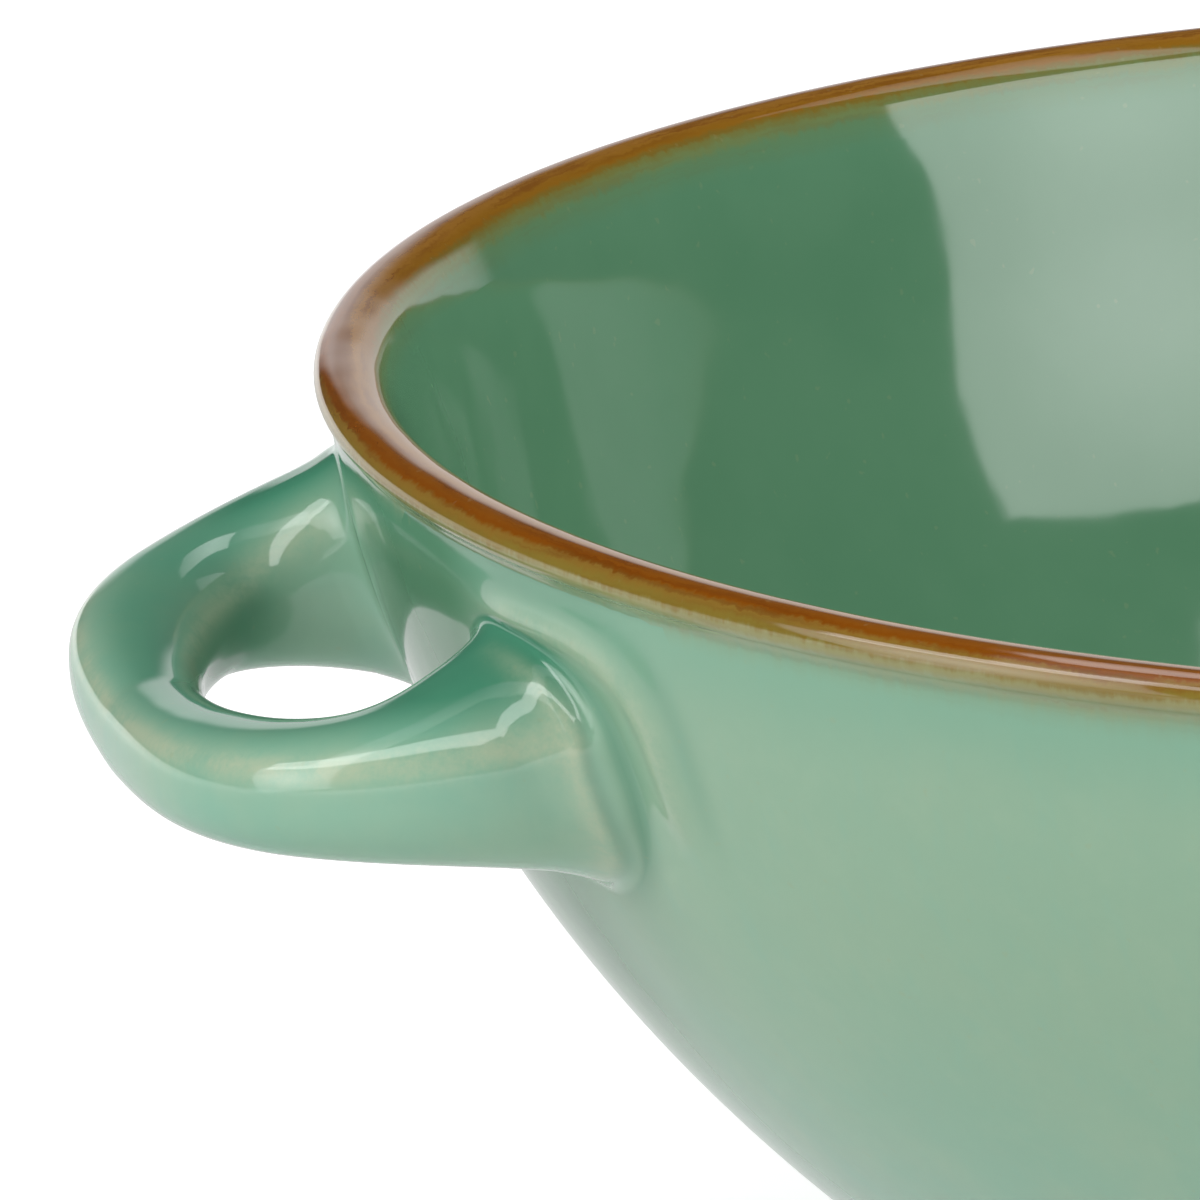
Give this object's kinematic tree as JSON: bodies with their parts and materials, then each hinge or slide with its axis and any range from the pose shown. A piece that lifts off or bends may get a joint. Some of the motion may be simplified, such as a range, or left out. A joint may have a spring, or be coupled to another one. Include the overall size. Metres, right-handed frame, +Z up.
{
  "type": "lug soup bowl",
  "caption": "Round stoneware soup bowl on a foot ring, with a flat loop handle on each side, a green glaze all over and a brown glaze coat on the rolled lip.",
  "frame": {"origin": "on the table under the bowl's axis, at the middle of the foot ring's resting face", "axes": "+Z up along the bowl's axis, +X through the middle of the right handle, +Y away from the front"},
  "size_m": [0.1648, 0.14, 0.057],
  "materials": {
    "green_glaze": "gloss celadon green glaze over stoneware, paler where it breaks over an edge and deeper where it pools",
    "brown_glaze": "gloss amber brown glaze, streaked, running to olive at its lower edge",
    "bare_clay": "buff stoneware, glazed on its sides and bare on the face that rests on the table"
  },
  "bodies": {
    "root": {"bowl_body": "green_glaze", "rim_glaze_coat": "brown_glaze", "foot_ring": "bare_clay", "left_handle": "green_glaze", "right_handle": "green_glaze", "left_front_collar": "green_glaze", "left_rear_collar": "green_glaze", "right_front_collar": "green_glaze", "right_rear_collar": "green_glaze"}
  },
  "joints": []
}
